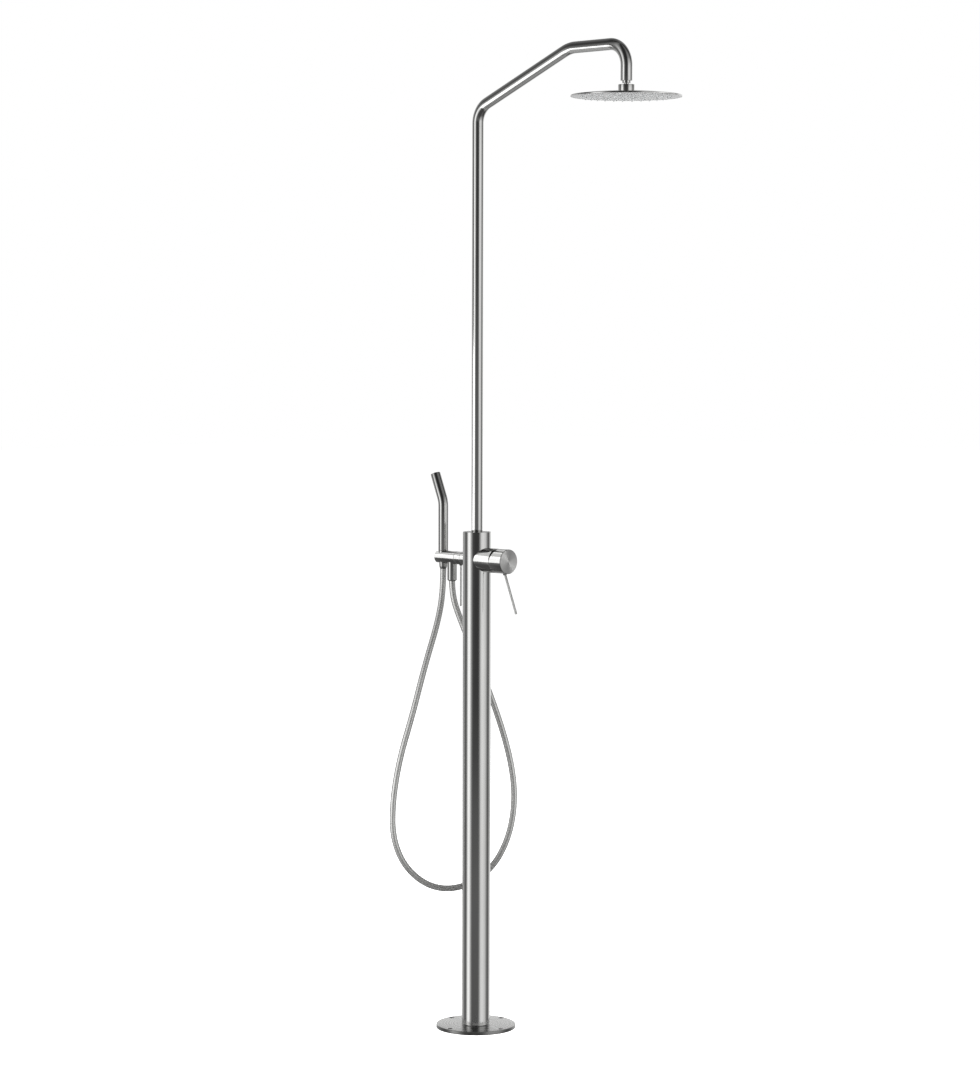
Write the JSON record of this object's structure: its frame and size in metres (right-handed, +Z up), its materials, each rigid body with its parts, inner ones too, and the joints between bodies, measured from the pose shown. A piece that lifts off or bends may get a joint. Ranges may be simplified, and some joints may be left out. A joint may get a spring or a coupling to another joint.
{
  "type": "outdoor shower post",
  "caption": "Free-standing round shower post with overhead head on a bent riser, lever mixer, diverter bar, and hand shower on a looped hose.",
  "frame": {"origin": "centre of the floor flange's underside, on the column's axis", "axes": "+Z up along the column; -Y to the front, where the arm and the mixer point; +Y to the back, where the bar and the hand shower are; +X to the right seen from the front"},
  "size_m": [0.237, 0.7597, 2.1977],
  "materials": {
    "brushed_steel": "satin, finely brushed",
    "brass": "turned",
    "cartridge_plastic": "moulded",
    "dark_collar": "satin",
    "rubber": "moulded",
    "silicone": "translucent grey, moulded",
    "hose_skin": "smooth silver",
    "copper": "drawn",
    "spray_face": "moulded",
    "seat_plastic": "turned"
  },
  "bodies": {
    "root": {"base_flange": "brushed_steel", "column_tube": "brushed_steel", "column_cap": "brushed_steel", "riser_seal": "rubber", "hot_supply_pipe": "copper", "cold_supply_pipe": "copper", "valve_block": "brass", "riser_arm": "brushed_steel", "ball_stem": "brushed_steel", "mixer_sleeve": "brushed_steel", "cartridge_housing": "brass", "cartridge": "cartridge_plastic", "cartridge_nut": "brushed_steel", "bar_socket": "brushed_steel", "bar_spine": "brass", "spine_seals": "rubber", "holder_bar": "brushed_steel", "outlet_nipple": "brass", "outlet_washer": "rubber", "outlet_nut": "brushed_steel", "outlet_insert": "brass", "shower_hose": "hose_skin"},
    "mixer_carrier": {"cartridge_carrier": "cartridge_plastic", "pivot_pin": "brushed_steel"},
    "mixer_handle": {"cartridge_stem": "brass", "mixer_cap": "brushed_steel", "lever_collar": "dark_collar", "lever_pin": "brushed_steel"},
    "diverter": {"diverter_ring": "brushed_steel", "diverter_collar": "dark_collar", "diverter_pin": "brushed_steel"},
    "hose_end": {"handset_nut": "brushed_steel", "handset_washer": "rubber", "handset_insert": "brass"},
    "hand_shower": {"handset_tube": "brushed_steel", "handset_coupler": "brass", "spray_insert": "spray_face"},
    "ball_ring": {"ball_seat": "seat_plastic"},
    "head": {"swivel_nut": "brushed_steel", "head_hub": "brushed_steel", "head_shell": "brushed_steel", "spray_plate": "brushed_steel", "nozzle_mat": "silicone", "head_gasket": "rubber"}
  },
  "joints": [
    {"name": "mixer_turn", "type": "hinge", "parent": "root", "child": "mixer_carrier", "pos_m": [0, -0.065, 1.0635], "axis": [0, 1, 0], "range_deg": [-45, 45]},
    {"name": "mixer_lift", "type": "hinge", "parent": "mixer_carrier", "child": "mixer_handle", "pos_m": [0, -0.065, 1.0635], "axis": [-1, 0, 0], "range_deg": [0, 18]},
    {"name": "diverter_turn", "type": "hinge", "parent": "root", "child": "diverter", "pos_m": [0, 0.0525, 1.0635], "axis": [0, 1, 0], "range_deg": [0, 90]},
    {"name": "handset_lift", "type": "slide", "parent": "root", "child": "hose_end", "axis": [0, 0, 1], "range_m": [0, 0.06]},
    {"name": "handset_spin", "type": "hinge", "parent": "hose_end", "child": "hand_shower", "pos_m": [0, 0.1105, 1.078], "axis": [0, 0, 1], "continuous": true},
    {"name": "head_swivel", "type": "hinge", "parent": "root", "child": "ball_ring", "pos_m": [0, -0.454, 2.089], "axis": [0, 0, 1], "continuous": true},
    {"name": "head_tilt", "type": "hinge", "parent": "ball_ring", "child": "head", "pos_m": [0, -0.454, 2.089], "axis": [1, 0, 0], "range_deg": [-12, 12]}
  ]
}
